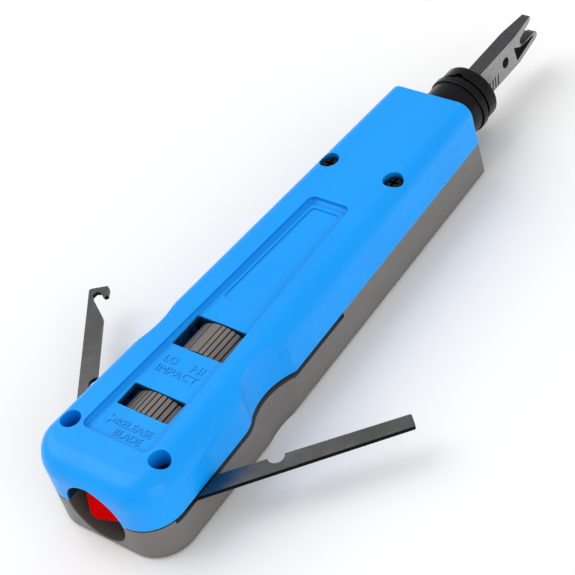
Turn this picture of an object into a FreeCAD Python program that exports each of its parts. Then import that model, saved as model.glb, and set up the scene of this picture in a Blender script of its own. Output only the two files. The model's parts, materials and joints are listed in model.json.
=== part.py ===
import FreeCAD, Part
import math
import os

# Impact punch down tool with a fold-out hook and pry bar and a spare blade in the handle.
# Lengths are millimetres. Stations run forward from the rear face of the casing along X, +Y is the
# left side and Z rises from the flat underside. save() moves the origin to mid-length of the casing.

# ---- driving dimensions: casing ----
CASE_LENGTH = 150.0
CASE_HEIGHT = 24.6
PARTING_Z = 11.0
REAR_HALF_WIDTH = 20.6
FRONT_HALF_WIDTH = 13.4
REAR_CORNER_R = 10.0
TOP_FILLET = 3.8
REAR_TOP_FILLET = 6.5
FOOT_FILLET = 1.2
WALL = 2.2
FLOOR = 2.0
CAVITY_TOP_Z = 21.5
FRONT_WALL = 3.0
EDGE_BREAK = 0.4
FAR = 30.0
OVER = 1.0
SHADOW_GAP_Y = 10.2
SHADOW_GAP_HEIGHT = 0.45
SHADOW_GAP_DEPTH = 0.7

# ---- driving dimensions: recessed panel and its two windows ----
PANEL_REAR_X = 13.1
PANEL_FRONT_X = 103.5
PANEL_REAR_HALF = 11.3
PANEL_FRONT_HALF = 6.6
PANEL_DEPTH = 1.4
PANEL_CORNER_R = 2.2
PANEL_FLOOR_R = 0.9
LABEL_REAR_X = 64.0
LABEL_FRONT_X = 100.8
LABEL_MARGIN = 2.2
LABEL_DEPTH = 0.25
WINDOW_HALF_WIDTH = 8.55
WINDOW_CORNER_R = 0.5
RELEASE_WINDOW_X = (23.45, 30.95)
IMPACT_WINDOW_X = (45.35, 56.15)

# ---- driving dimensions: finger grooves in the sides ----
GROOVE_X = 49.6
GROOVE_R = 18.2
GROOVE_BED_Y = 15.1
GROOVE_FOOT_BED_Y = 17.2
GROOVE_BLEND = 3.2
GROOVE_BLEND_LIFT = 0.3

# ---- driving dimensions: axes of the two mechanisms ----
AXIS_Z = 12.2
STORE_Z = 10.4
FIT = 0.08
GAP = 0.3
SEAT_FIT = 0.05
LAP = 0.5

# ---- driving dimensions: screws ----
FRONT_SCREW_X = 116.98
FRONT_SCREW_Y = 10.65
REAR_SCREW_X = 13.47
REAR_SCREW_Y = 14.71
SCREW_SHANK_R = 1.25
SCREW_HEAD_R = 2.5
SCREW_HEAD_H = 1.7
SCREW_HOLE_R = 1.3
COUNTERBORE_R = 2.8
FRONT_HEAD_TOP_Z = 23.4
REAR_HEAD_TOP_Z = 19.6
SCREW_TIP_Z = 3.6
SCREW_HEAD_EDGE_R = 0.68
CROSS_WIDTH = 0.8
CROSS_DEPTH = 1.0
CROSS_REACH = 1.55
PILOT_END_GAP = 0.4
FRONT_BOSS_R = 2.2
REAR_BOSS_R = 4.0
PIVOT_POST_R = 2.6

# ---- driving dimensions: fold-out tools ----
TOOL_SLOT_X = (7.5, 81.0)
TOOL_SLOT_Y = 9.3
TOOL_SLOT_FLOOR_Z = 9.4
TOOL_THICKNESS = 1.2
TOOL_REST_Z = 9.45
TRAY_THICKNESS = 1.6
TOP_TRAY_THICKNESS = 1.4
TRAY_X = (4.0, 84.0)
EYE_R = 4.6
TOOL_LENGTH = 60.1
BAR_SWING_DEG = 41.1
HOOK_SWING_DEG = 37.3
BAR_ROOT_HALF = 2.6
BAR_TIP_HALF = 2.1
HOOK_INNER_V = -0.25
HOOK_OUTER_V = 4.6
NOTCH_R = 2.2
BAR_NOTCH_U = 25.9
BAR_NOTCH_V = 2.4
BAR_TIP_R = 0.6
HOOK_NOTCH_U = 24.5
HOOK_TIP_U = 61.0
HOOK_TIP_R = 0.8
STOP_POST_R = 1.7
WASHER_R = (2.7, 4.4)
WASHER_THICKNESS = 0.25

# ---- driving dimensions: spare blade store ----
WELL_R = 9.1
WELL_DEPTH = 9.0
SLEEVE_R = (5.75, 6.65)
SLEEVE_X = (10.2, 41.5)
SLEEVE_FLANGE_R = 8.4
SLEEVE_FLANGE_X = (36.4, 37.6)
SLEEVE_SLOT_HALF = 1.25
CARRIER_R = 5.6
CARRIER_X = (7.2, 16.5)
CARRIER_SOCKET_DEPTH = 7.6
TAB_REAR_X = 0.9
TAB_THICKNESS = 1.7
TAB_OUTLINE = [(4.6, -5.0), (1.0, 8.0), (-8.4, 3.4), (-7.6, 0.2)]
TAB_CORNER_R = 1.7
TAB_EDGE_R = 0.4
STALK_HALF_WIDTH = 2.2
STALK_Z = (-1.2, 4.2)
PIN_R = 1.0
PIN_X = 15.0
PIN_LENGTH = 8.0
PIN_SLOT_GAP = 0.35
PIN_SLOT_R = (4.0, 14.0)
PIN_SLOT_STEPS = 16
SLEEVE_SLOT_DEPTH = 8.0
CARRIER_TRAVEL = 5.0
RELEASE_TURN_DEG = 25.0
RELEASE_SLEEVE_R = (6.85, 8.2)
RELEASE_SLEEVE_X = (9.2, 33.1)
RELEASE_PAD_X = (23.75, 30.65)
RELEASE_PAD_R = 12.6
RELEASE_PAD_ARC = (-75.0, 48.0)
RELEASE_RIB_PITCH_DEG = 7.5
RIB_DEPTH = 0.6
RIB_GROOVE_DEG = 2.2
PAD_ROOT = 0.5
RELEASE_SWEEP_ARC = (-79.0, 79.0)
SELECTOR_SWEEP_X = (45.3, 56.2)
SELECTOR_SWEEP_ARC = (-86.0, 86.0)

# ---- driving dimensions: impact mechanism ----
SELECTOR_X = (42.55, 57.35)
SELECTOR_HUB_R = (7.4, 8.9)
SELECTOR_PAD_X = (45.75, 55.75)
SELECTOR_PAD_R = 10.9
SELECTOR_PAD_ARC = (-72.0, 72.0)
SELECTOR_RIB_ARC = (-68.35, 4.55)
SELECTOR_RIB_PITCH_DEG = 8.1
SELECTOR_END_GROOVE_DEG = 18.7
CAM_SLOPE = 0.4
CAM_HALF_ARC_DEG = 18.0
CAM_MID_X = 59.5
CAM_GAP = 0.25
CAM_ROOT = 0.5
CAM_SPAN_X = (54.0, 64.0)
CAM_OVERRUN = 1.5
SEAT_FLANGE_X = (61.6, 63.2)
SEAT_SPIGOT_R = 4.3
SEAT_SPIGOT_X = 66.0
SEAT_KEY_HALF = 1.45
SEAT_KEY_Z = 2.4
SEAT_KEY_TOP_R = 6.0
KEYWAY_X = (59.0, 65.0)
KEYWAY_WALL = 1.2
TUBE_R = (7.5, 8.3)
TUBE_X = (66.5, 128.0)
TUBE_COLLAR_R = 9.2
TUBE_COLLAR_X = 124.2
TUBE_LIP_X = 126.0
TUBE_SLOT_X = (92.2, 113.0)
TUBE_SLOT_HALF = 3.2
TUBE_SLOT_REACH = 12.0
RAMP_X = (92.8, 93.8, 96.8)
RAMP_HEIGHT = 2.2
RAMP_TOE_HEIGHT = 0.6
RAMP_HALF_WIDTH = 2.4
HAMMER_R = 7.42
HAMMER_X = (92.0, 118.0)
HAMMER_SPIGOT_X = 88.0
HAMMER_BORE_R = 2.3
HAMMER_BORE_LENGTH = 18.0
SEAR_X = (106.0, 110.0)
SEAR_HALF_WIDTH = 2.8
SEAR_FOOT_R = 8.8
SEAR_TOP_R = 3.4
SEAR_WINDOW_TOP_R = 6.9
SEAR_HOLE_OFFSET = 1.3
SEAR_FOOT_EDGE_R = 0.9
SEAR_FIT = 0.1
MAIN_COIL = (5.3, 0.8, 9)
RETURN_COIL = (7.7, 0.4, 5)
SEAR_COIL = (1.5, 0.18, 5)
CLICK_COIL = (0.8, 0.18, 5)
CLICK_R = 8.1
CLICK_ANGLE_DEG = 60.0
CLICK_BALL_R = 1.1
CLICK_BALL_GAP = 0.1
CLICK_TRACK_OFFSET = 0.45
CLICK_HOLE_OFFSET = 0.6

# ---- driving dimensions: blade holder and blade ----
HEAD_R = 8.6
HEAD_X = 144.0
RIDGE_X = (160.0, 162.0)
RIDGE_R = 9.1
RIDGE_EDGE_R = 0.35
RING_GROOVE_R = 7.3
FLANGE_X = (163.4, 167.6)
FLANGE_R = 8.6
FLANGE_EDGE_R = 0.9
STEM_R = 6.0
STEM_X = 122.0
TAIL_R = 1.9
TAIL_X = 110.3
CLIP_X = (124.6, 125.7)
CLIP_R = (5.35, 7.2)
CLIP_MOUTH_HALF = 3.0
DETENT_RING_OUT_R = 8.15
DETENT_RING_GAP = 0.15
DETENT_RING_MOUTH_HALF = 0.8
RING_PLAY = 0.03
BUSH_X = (134.6, 147.0)
BUSH_R = (8.68, 10.2)
NOSE_HOLE_R = 8.95
SHANK_R = 4.2
SHANK_LENGTH = 14.0
SHANK_PLAY = 0.3
SOCKET_R = 4.28
LUG_R = 5.6
LUG_X = (-9.5, -7.3)
LUG_HALF_WIDTH = 1.2
LUG_GAP = 0.2
BALL_R = 1.6
BALL_X = -4.9
BALL_GROOVE_R = 3.7
BLADE_LENGTH = 30.4
UPPER_PRONG_LENGTH = 30.1
BLADE_HALF_THICK = 2.4
BLADE_HALF_HEIGHT = 4.6
BLADE_START = 0.12
BLADE_HOLE_X = 14.0
BLADE_HOLE_R = 1.6
BLADE_TAPER_X = 20.5
BLADE_TIP_HALF_THICK = 1.15
FORK_FLOOR_Z = -0.3
FORK_ROOT_X = 23.6
FORK_ROOT_Z = 1.0
FORK_ROOT_R = 1.3
CUTTER_POCKET = [(18.8, 1.7), (19.4, -3.4), (28.8, -1.3), (28.4, -0.7), (22.0, -0.3)]
CUTTER_POCKET_DEPTH = 1.6
LOWER_PRONG_TIP_Y = 0.2

# ---- driving dimensions: the ribs inside the casing ----
RELEASE_RIB_X = (17.0, 20.0)
SLEEVE_RIB_X = 33.3
SELECTOR_REAR_RIB_X = (43.0, 45.1)
SELECTOR_FRONT_RIB_X = 56.3
TUBE_REAR_RIB_X = (68.0, 70.5)
TUBE_MIDDLE_RIB_X = (88.5, 91.0)
TUBE_FRONT_RIB_X = 121.6
RING_RIB_X = 130.5
RING_RIB_BORE_R = 7.0
NOSE_RIB_LENGTH = 1.4
RIB_TOUCH = 0.1

UP = FreeCAD.Vector(0, 0, 1)
ALONG = FreeCAD.Vector(1, 0, 0)
ACROSS = FreeCAD.Vector(0, 1, 0)


def vec(x, y, z):
    return FreeCAD.Vector(x, y, z)


def half_width(x):
    """Half the casing's width at station x: both sides taper straight towards the nose."""
    return REAR_HALF_WIDTH + (FRONT_HALF_WIDTH - REAR_HALF_WIDTH) * x / CASE_LENGTH


def taper_deg():
    return math.degrees(math.atan((REAR_HALF_WIDTH - FRONT_HALF_WIDTH) / CASE_LENGTH))


def box(x, y, z):
    """A block between three pairs of limits."""
    return Part.makeBox(x[1] - x[0], y[1] - y[0], z[1] - z[0], vec(x[0], y[0], z[0]))


def around(middle, half):
    return middle - half, middle + half


def rod(radius, x, z, y=0.0):
    """A cylinder along X between two stations."""
    return Part.makeCylinder(radius, x[1] - x[0], vec(x[0], y, z), ALONG)


def pipe(radii, x, z):
    return rod(radii[1], x, z).cut(rod(radii[0], (x[0] - OVER, x[1] + OVER), z))


def post(radius, x, y, z):
    """A cylinder along Z between two heights."""
    return Part.makeCylinder(radius, z[1] - z[0], vec(x, y, z[0]))


def plate(points, z):
    """A flat plate with a straight-sided outline in the XY plane."""
    corners = [vec(px, py, z[0]) for px, py in points]
    face = Part.Face(Part.makePolygon(corners + corners[:1]))
    return face.extrude(vec(0, 0, z[1] - z[0]))


def side_plate(points, y):
    """A flat plate with a straight-sided outline in the XZ plane."""
    corners = [vec(px, y[0], pz) for px, pz in points]
    face = Part.Face(Part.makePolygon(corners + corners[:1]))
    return face.extrude(vec(0, y[1] - y[0], 0))


def ring_sector(radii, x, z, arc):
    """A sector of a ring about an axis along X. Angles run from straight up towards +Y, in degrees."""
    steps = max(2, int((arc[1] - arc[0]) / 20) + 1)
    reach = radii[1] * 2
    fan = [vec(x[0], 0, z)]
    for i in range(steps + 1):
        a = math.radians(arc[0] + (arc[1] - arc[0]) * i / steps)
        fan.append(vec(x[0], reach * math.sin(a), z + reach * math.cos(a)))
    face = Part.Face(Part.makePolygon(fan + fan[:1]))
    return pipe(radii, x, z).common(face.extrude(vec(x[1] - x[0], 0, 0)))


def fuse(shapes):
    """One solid from several that touch or overlap."""
    whole = shapes[0].multiFuse(shapes[1:])
    return whole.removeSplitter()


def cut_all(shape, tools):
    for tool in tools:
        shape = shape.cut(tool)
    return shape


def both_sides(make):
    """The same feature on the left and on the right."""
    return [make(1), make(-1)]


def coil(shape, x, z, y=0.0):
    """A compression spring along X from (mean radius, wire radius, turns) between two stations."""
    mean_r, wire_r, turns = shape
    free = (x[1] - x[0]) - 2 * wire_r
    path = Part.makeHelix(free / turns, free, mean_r)
    wire = Part.Wire(path.Edges)
    profile = Part.Wire(Part.makeCircle(wire_r, vec(mean_r, 0, 0), vec(0, 1, 0)))
    spring = wire.makePipeShell([profile], True, True)
    spring.rotate(vec(0, 0, 0), vec(0, 1, 0), 90)
    spring.translate(vec(x[0] + wire_r, y, z))
    return spring


def edges_where(shape, test):
    return [e for e in shape.Edges if test(e)]


def spans(edge, axis, low, high):
    """True when the edge runs between two values of one coordinate."""
    box_ = edge.BoundBox
    limits = {"x": (box_.XMin, box_.XMax), "y": (box_.YMin, box_.YMax), "z": (box_.ZMin, box_.ZMax)}[axis]
    return abs(limits[0] - low) < 1e-3 and abs(limits[1] - high) < 1e-3


# ---- casing ----
def variable_fillet(shape, radii_of_edge):
    """Fillet with a radius at each end of each edge, given by edge number."""
    document = FreeCAD.newDocument("fillet")
    base = document.addObject("Part::Feature", "base")
    base.Shape = shape
    fillet = document.addObject("Part::Fillet", "fillet")
    fillet.Base = base
    fillet.Edges = radii_of_edge
    document.recompute()
    result = fillet.Shape.copy()
    FreeCAD.closeDocument(document.Name)
    return result


def case_blank():
    """The closed outer form: a tapering block with round rear corners and a soft upper rim."""
    rear, front = REAR_HALF_WIDTH, FRONT_HALF_WIDTH
    outline = [(0, -rear), (CASE_LENGTH, -front), (CASE_LENGTH, front), (0, rear)]
    blank = plate(outline, (0, CASE_HEIGHT))
    upright = edges_where(blank, lambda e: spans(e, "x", 0, 0) and spans(e, "z", 0, CASE_HEIGHT))
    blank = blank.makeFillet(REAR_CORNER_R, upright)
    radii = []
    for number, edge in enumerate(blank.Edges, start=1):
        if not spans(edge, "z", CASE_HEIGHT, CASE_HEIGHT) or spans(edge, "x", CASE_LENGTH, CASE_LENGTH):
            continue
        first, last = edge.Vertexes[0].Point, edge.Vertexes[-1].Point
        ends = [REAR_TOP_FILLET if p.x < EDGE_BREAK else TOP_FILLET for p in (first, last)]
        radii.append((number, ends[0], ends[1]))
    blank = variable_fillet(blank, radii)
    foot = edges_where(blank, lambda e: spans(e, "z", 0, 0) and not spans(e, "x", CASE_LENGTH, CASE_LENGTH))
    return blank.makeFillet(FOOT_FILLET, foot)


def groove_end(bed_y, direction):
    """Station where the groove's arc meets the tapering side wall, ahead of or behind its middle."""
    x = GROOVE_X
    for _ in range(8):
        rise = bed_y + GROOVE_R - half_width(x)
        x = GROOVE_X + direction * math.sqrt(GROOVE_R**2 - rise**2)
    return x


def groove_wire(side, bed_y, z):
    """Plan outline of one finger groove: a blend at the rear, an arc, and a crisp front edge."""
    def at(x, y):
        return vec(x, side * y, z)

    def on_arc(x):
        return bed_y + GROOVE_R - math.sqrt(GROOVE_R**2 - (x - GROOVE_X) ** 2)

    rear, front = groove_end(bed_y, -1), groove_end(bed_y, 1)
    start, join = rear - GROOVE_BLEND, rear + GROOVE_BLEND
    middle_x = rear + GROOVE_BLEND / 10
    middle_y = (on_arc(rear + GROOVE_BLEND / 5) * 2 + half_width(rear) - GROOVE_BLEND_LIFT) / 3
    blend = Part.Arc(at(start, half_width(start)), at(middle_x, middle_y), at(join, on_arc(join)))
    bed = Part.Arc(at(join, on_arc(join)), at(GROOVE_X, bed_y), at(front, on_arc(front)))
    corners = [at(front, on_arc(front)), at(front, FAR), at(start, FAR), at(start, half_width(start))]
    lines = [Part.LineSegment(a, b).toShape() for a, b in zip(corners, corners[1:])]
    return Part.Wire([blend.toShape(), bed.toShape()] + lines)


def grooves(z, beds):
    """Cutters for the finger grooves, from the bed at the lower height to the bed at the upper."""
    def make(side):
        return Part.makeLoft([groove_wire(side, bed, height) for bed, height in zip(beds, z)], True, True)
    return both_sides(make)


def groove_backs():
    """What the casing keeps solid behind its finger grooves."""
    lower = grooves((0, PARTING_Z), (GROOVE_FOOT_BED_Y - WALL, GROOVE_BED_Y - WALL))
    upper = grooves((PARTING_Z, CASE_HEIGHT), (GROOVE_BED_Y - WALL, GROOVE_BED_Y - WALL))
    return lower + upper


def inset_outline(inset, front_inset, z):
    """The casing's outline drawn in by a wall's thickness, as a block between two heights."""
    rear, front = inset, CASE_LENGTH - front_inset
    points = [(rear, -half_width(rear) + inset), (front, -half_width(front) + inset)]
    points += [(front, half_width(front) - inset), (rear, half_width(rear) - inset)]
    block = plate(points, z)
    corners = edges_where(block, lambda e: spans(e, "x", rear, rear) and spans(e, "z", z[0], z[1]))
    return block.makeFillet(REAR_CORNER_R - inset, corners)


def cavity(z):
    """The hollow of the casing between two heights."""
    return cut_all(inset_outline(WALL, FRONT_WALL, z), groove_backs())


def shadow_gaps():
    """A shallow gap under the upper half, round the rear corners to the tool slots."""
    z = (PARTING_Z - SHADOW_GAP_HEIGHT, PARTING_Z + OVER)
    inner = inset_outline(SHADOW_GAP_DEPTH, SHADOW_GAP_DEPTH, z)
    x = (-OVER, TOOL_SLOT_X[0] + LAP)
    return [box(x, y, z).cut(inner) for y in ((SHADOW_GAP_Y, FAR), (-FAR, -SHADOW_GAP_Y))]


def panel_half(x):
    share = (x - PANEL_REAR_X) / (PANEL_FRONT_X - PANEL_REAR_X)
    return PANEL_REAR_HALF + (PANEL_FRONT_HALF - PANEL_REAR_HALF) * share


def rounded_trapezoid(x, half_at, z, corner_r):
    """A plate whose sides follow a taper, with round upright corners."""
    points = [(x[0], -half_at(x[0])), (x[1], -half_at(x[1])), (x[1], half_at(x[1])), (x[0], half_at(x[0]))]
    body = plate(points, z)
    return body.makeFillet(corner_r, edges_where(body, lambda e: spans(e, "z", z[0], z[1])))


def panel_cutter():
    """The recess in the top: a tapering tray with a rounded foot."""
    floor_z = CASE_HEIGHT - PANEL_DEPTH
    x, z = (PANEL_REAR_X, PANEL_FRONT_X), (floor_z, CASE_HEIGHT + OVER)
    tray = rounded_trapezoid(x, panel_half, z, PANEL_CORNER_R)
    tray = tray.makeFillet(PANEL_FLOOR_R, edges_where(tray, lambda e: spans(e, "z", floor_z, floor_z)))
    label = rounded_trapezoid(
        (LABEL_REAR_X, LABEL_FRONT_X),
        lambda x: panel_half(x) - LABEL_MARGIN,
        (floor_z - LABEL_DEPTH, CASE_HEIGHT),
        PANEL_CORNER_R - PANEL_FLOOR_R,
    )
    return tray.fuse(label)


def window_cutter(x):
    z = (CAVITY_TOP_Z - OVER, CASE_HEIGHT)
    return rounded_trapezoid(x, lambda _: WINDOW_HALF_WIDTH, z, WINDOW_CORNER_R)


def bulkheads():
    """The inner ribs, as (stations, bore radius, bore axis height)."""
    sleeve_bore = SLEEVE_R[1] + SEAT_FIT
    hub_bore = SELECTOR_HUB_R[1] + FIT
    tube_bore = TUBE_R[1] + SEAT_FIT
    return [
        ((WALL, WELL_DEPTH), WELL_R, STORE_Z),
        (RELEASE_RIB_X, RELEASE_SLEEVE_R[1] + FIT, STORE_Z),
        ((SLEEVE_RIB_X, SLEEVE_FLANGE_X[0] - RIB_TOUCH), sleeve_bore, STORE_Z),
        ((SLEEVE_FLANGE_X[1] + RIB_TOUCH, SELECTOR_X[0] - 1.5 * RIB_TOUCH), sleeve_bore, STORE_Z),
        (SELECTOR_REAR_RIB_X, hub_bore, AXIS_Z),
        ((SELECTOR_FRONT_RIB_X, SELECTOR_X[1] - RIB_TOUCH), hub_bore, AXIS_Z),
        (TUBE_REAR_RIB_X, tube_bore, AXIS_Z),
        (TUBE_MIDDLE_RIB_X, tube_bore, AXIS_Z),
        ((TUBE_FRONT_RIB_X, TUBE_COLLAR_X - RIB_TOUCH), tube_bore, AXIS_Z),
        ((TUBE_X[1] + RIB_TOUCH, RING_RIB_X), RING_RIB_BORE_R, AXIS_Z),
        ((BUSH_X[0] - NOSE_RIB_LENGTH, CASE_LENGTH - FRONT_WALL), BUSH_R[1] + SEAT_FIT, AXIS_Z),
    ]


def ribs(z):
    """All inner ribs between two heights, still without their bores."""
    hollow = cavity(z)
    return [hollow.common(box(x, (-FAR, FAR), z)) for x, _, _ in bulkheads()]


def rib_bores():
    bores = [rod(radius, (x[0] - LAP, x[1] + LAP), height) for x, radius, height in bulkheads()[1:-1]]
    bores.append(rod(WELL_R, (-OVER, WELL_DEPTH + LAP), STORE_Z))
    bores.append(rod(BUSH_R[1] + SEAT_FIT, (BUSH_X[0] - 2 * OVER, CASE_LENGTH - FRONT_WALL), AXIS_Z))
    bores.append(rod(NOSE_HOLE_R, (BUSH_X[0], CASE_LENGTH + OVER), AXIS_Z))
    return bores


def tray(z):
    """Ledges above and below the fold-out tools."""
    hollow = cavity(z)
    return [hollow.common(box(TRAY_X, y, z)) for y in ((TOOL_SLOT_Y, FAR), (-FAR, -TOOL_SLOT_Y))]


def front_screw_at(side):
    return (FRONT_SCREW_X, side * FRONT_SCREW_Y)


def rear_screw_at(side):
    return (REAR_SCREW_X, side * REAR_SCREW_Y)


def selector_clearance():
    """Room inside the ribs for the two ribbed pads as they turn."""
    return [
        ring_sector((RELEASE_SLEEVE_R[1], RELEASE_PAD_R + GAP), RELEASE_WINDOW_X, STORE_Z, RELEASE_SWEEP_ARC),
        ring_sector((SELECTOR_HUB_R[1], SELECTOR_PAD_R + GAP), SELECTOR_SWEEP_X, AXIS_Z, SELECTOR_SWEEP_ARC),
    ]


def click_place():
    a = math.radians(CLICK_ANGLE_DEG)
    return CLICK_R * math.sin(a), AXIS_Z + CLICK_R * math.cos(a)


def top_shell():
    """The blue upper half with the panel, the windows and the screw wells."""
    upper = box((-OVER, CASE_LENGTH + OVER), (-FAR, FAR), (PARTING_Z, CASE_HEIGHT + OVER))
    shell = case_blank().common(upper)
    shell = cut_all(shell, grooves((PARTING_Z, CASE_HEIGHT + OVER), (GROOVE_BED_Y, GROOVE_BED_Y)))
    z = (PARTING_Z, CAVITY_TOP_Z)
    shell = shell.cut(cavity(z))
    parts = [shell] + ribs(z) + tray((PARTING_Z, PARTING_Z + TOP_TRAY_THICKNESS))
    for side in (1, -1):
        parts.append(post(FRONT_BOSS_R, *front_screw_at(side), z))
        parts.append(post(REAR_BOSS_R, *rear_screw_at(side), z))
    shell = fuse(parts)
    shell = shell.cut(panel_cutter())
    tools = [window_cutter(RELEASE_WINDOW_X), window_cutter(IMPACT_WINDOW_X)]
    tools += rib_bores() + selector_clearance()
    click_y, click_z = click_place()
    click_x = (SLEEVE_FLANGE_X[1] + CLICK_HOLE_OFFSET, SELECTOR_X[0])
    tools.append(rod(CLICK_BALL_R + CLICK_BALL_GAP, click_x, click_z, click_y))
    for side in (1, -1):
        for at, head_z in ((front_screw_at(side), FRONT_HEAD_TOP_Z), (rear_screw_at(side), REAR_HEAD_TOP_Z)):
            tools.append(post(SCREW_HOLE_R, *at, (PARTING_Z - OVER, CASE_HEIGHT + OVER)))
            tools.append(post(COUNTERBORE_R, *at, (head_z - SCREW_HEAD_H, CASE_HEIGHT + OVER)))
    return cut_all(shell, tools)


def folded_direction(side):
    """Unit vector along a folded tool, parallel to its side wall."""
    a = math.radians(taper_deg())
    return math.cos(a), -side * math.sin(a)


def stop_post_at(side):
    """The peg that a folded tool's notch closes over."""
    u = HOOK_NOTCH_U if side > 0 else BAR_NOTCH_U
    v = HOOK_INNER_V if side > 0 else -BAR_NOTCH_V
    ex, ey = folded_direction(side)
    out_x, out_y = side * -ey, side * ex
    return REAR_SCREW_X + u * ex + v * out_x, side * REAR_SCREW_Y + u * ey + v * out_y


def bottom_shell():
    """The grey lower half with the tool slots, the pivot posts and the trip ramp."""
    lower = box((-OVER, CASE_LENGTH + OVER), (-FAR, FAR), (-OVER, PARTING_Z))
    shell = case_blank().common(lower)
    shell = cut_all(shell, grooves((0, PARTING_Z), (GROOVE_FOOT_BED_Y, GROOVE_BED_Y)))
    z = (FLOOR, PARTING_Z)
    shell = shell.cut(cavity(z))
    parts = [shell] + ribs(z) + tray((TOOL_SLOT_FLOOR_Z - TRAY_THICKNESS, PARTING_Z))
    for side in (1, -1):
        parts.append(post(FRONT_BOSS_R, *front_screw_at(side), z))
    key_room = SEAT_KEY_HALF + FIT
    wall_z = (FLOOR - LAP, FLOOR + KEYWAY_WALL)
    parts.append(box(KEYWAY_X, (key_room, key_room + KEYWAY_WALL), wall_z))
    parts.append(box(KEYWAY_X, (-key_room - KEYWAY_WALL, -key_room), wall_z))
    heel, crest, toe = RAMP_X
    root, top = FLOOR - LAP, FLOOR + RAMP_HEIGHT
    ramp = [(heel, root), (toe, root), (toe, FLOOR + RAMP_TOE_HEIGHT), (crest, top), (heel, top)]
    parts.append(side_plate(ramp, (-RAMP_HALF_WIDTH, RAMP_HALF_WIDTH)))
    shell = fuse(parts)
    slot_z = (TOOL_SLOT_FLOOR_Z, PARTING_Z + OVER)
    slots = [box(TOOL_SLOT_X, y, slot_z) for y in ((TOOL_SLOT_Y, FAR), (-FAR, -TOOL_SLOT_Y))]
    shell = cut_all(shell, slots + shadow_gaps() + rib_bores() + selector_clearance())
    pegs = []
    for side in (1, -1):
        pegs.append(post(PIVOT_POST_R, *rear_screw_at(side), z))
        pegs.append(post(STOP_POST_R, *stop_post_at(side), (TOOL_SLOT_FLOOR_Z - OVER, PARTING_Z)))
    shell = fuse([shell] + pegs)
    holes = []
    for side in (1, -1):
        for at in (front_screw_at(side), rear_screw_at(side)):
            holes.append(post(SCREW_HOLE_R, *at, (SCREW_TIP_Z - PILOT_END_GAP, PARTING_Z + OVER)))
    return cut_all(shell, holes)


# ---- screws ----
def screw(at, head_top_z):
    """A pan head screw with a cross recess."""
    head = post(SCREW_HEAD_R, *at, (head_top_z - SCREW_HEAD_H, head_top_z))
    rim = edges_where(head, lambda e: spans(e, "z", head_top_z, head_top_z))
    head = head.makeFillet(SCREW_HEAD_EDGE_R, rim)
    body = head.fuse(post(SCREW_SHANK_R, *at, (SCREW_TIP_Z, head_top_z - SCREW_HEAD_H + LAP)))
    arm = (CROSS_REACH, CROSS_WIDTH / 2)
    for reach_x, reach_y in (arm, arm[::-1]):
        x, y = at
        z = (head_top_z - CROSS_DEPTH, head_top_z + OVER)
        body = body.cut(box((x - reach_x, x + reach_x), (y - reach_y, y + reach_y), z))
    return body


def screws(place, head_top_z):
    return Part.makeCompound([screw(place(side), head_top_z) for side in (1, -1)])


# ---- fold-out tools ----
def place_tool(tool, side, swing_deg):
    """Moves a tool drawn along +X from the origin to its pivot, swung out from the casing."""
    tool.rotate(vec(0, 0, 0), UP, side * swing_deg)
    tool.translate(vec(REAR_SCREW_X, side * REAR_SCREW_Y, 0))
    return tool


def pry_bar():
    """A flat bar with a round notch in its inner edge. Here v points inwards, to +Y."""
    z = (TOOL_REST_Z, TOOL_REST_Z + TOOL_THICKNESS)
    tip = TOOL_LENGTH
    outline = [(0, -BAR_ROOT_HALF), (tip, -BAR_TIP_HALF), (tip, BAR_TIP_HALF), (0, BAR_ROOT_HALF)]
    bar = plate(outline, z)
    bar = bar.makeFillet(BAR_TIP_R, edges_where(bar, lambda e: spans(e, "x", tip, tip) and spans(e, "z", *z)))
    bar = bar.fuse(post(EYE_R, 0, 0, z)).removeSplitter()
    through = (z[0] - OVER, z[1] + OVER)
    bar = bar.cut(post(NOTCH_R, BAR_NOTCH_U, BAR_NOTCH_V, through))
    bar = bar.cut(post(PIVOT_POST_R + FIT, 0, 0, through))
    return place_tool(bar, -1, BAR_SWING_DEG)


def hook():
    """A flat cable hook: an offset shank with a barbed end. Here v points outwards, to +Y."""
    z = (TOOL_REST_Z, TOOL_REST_Z + TOOL_THICKNESS)
    inner, outer = HOOK_INNER_V, HOOK_OUTER_V
    outline = [
        (0, inner), (48.7, inner), (57.2, 3.3), (58.2, 3.35), (59.3, 2.4), (59.0, 1.2),
        (57.5, 0.55), (56.8, -0.1), (57.1, -1.05), (60.0, -1.2),
        (HOOK_TIP_U, -0.6), (HOOK_TIP_U, outer), (0, outer),
    ]
    blade = plate(outline, z)
    blade = blade.fuse(post(EYE_R, 0, 0, z)).removeSplitter()
    at_tip = edges_where(blade, lambda e: spans(e, "z", *z) and spans(e, "x", HOOK_TIP_U, HOOK_TIP_U))
    blade = blade.makeFillet(HOOK_TIP_R, [e for e in at_tip if spans(e, "y", outer, outer)])
    through = (z[0] - OVER, z[1] + OVER)
    blade = blade.cut(post(NOTCH_R, HOOK_NOTCH_U, inner, through))
    blade = blade.cut(post(PIVOT_POST_R + FIT, 0, 0, through))
    return place_tool(blade, 1, HOOK_SWING_DEG)


def pivot_washers():
    z0 = TOOL_REST_Z + TOOL_THICKNESS + RING_PLAY
    z = (z0, z0 + WASHER_THICKNESS)
    rings = []
    for side in (1, -1):
        ring = post(WASHER_R[1], *rear_screw_at(side), z)
        rings.append(ring.cut(post(WASHER_R[0], *rear_screw_at(side), (z[0] - OVER, z[1] + OVER))))
    return Part.makeCompound(rings)


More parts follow.
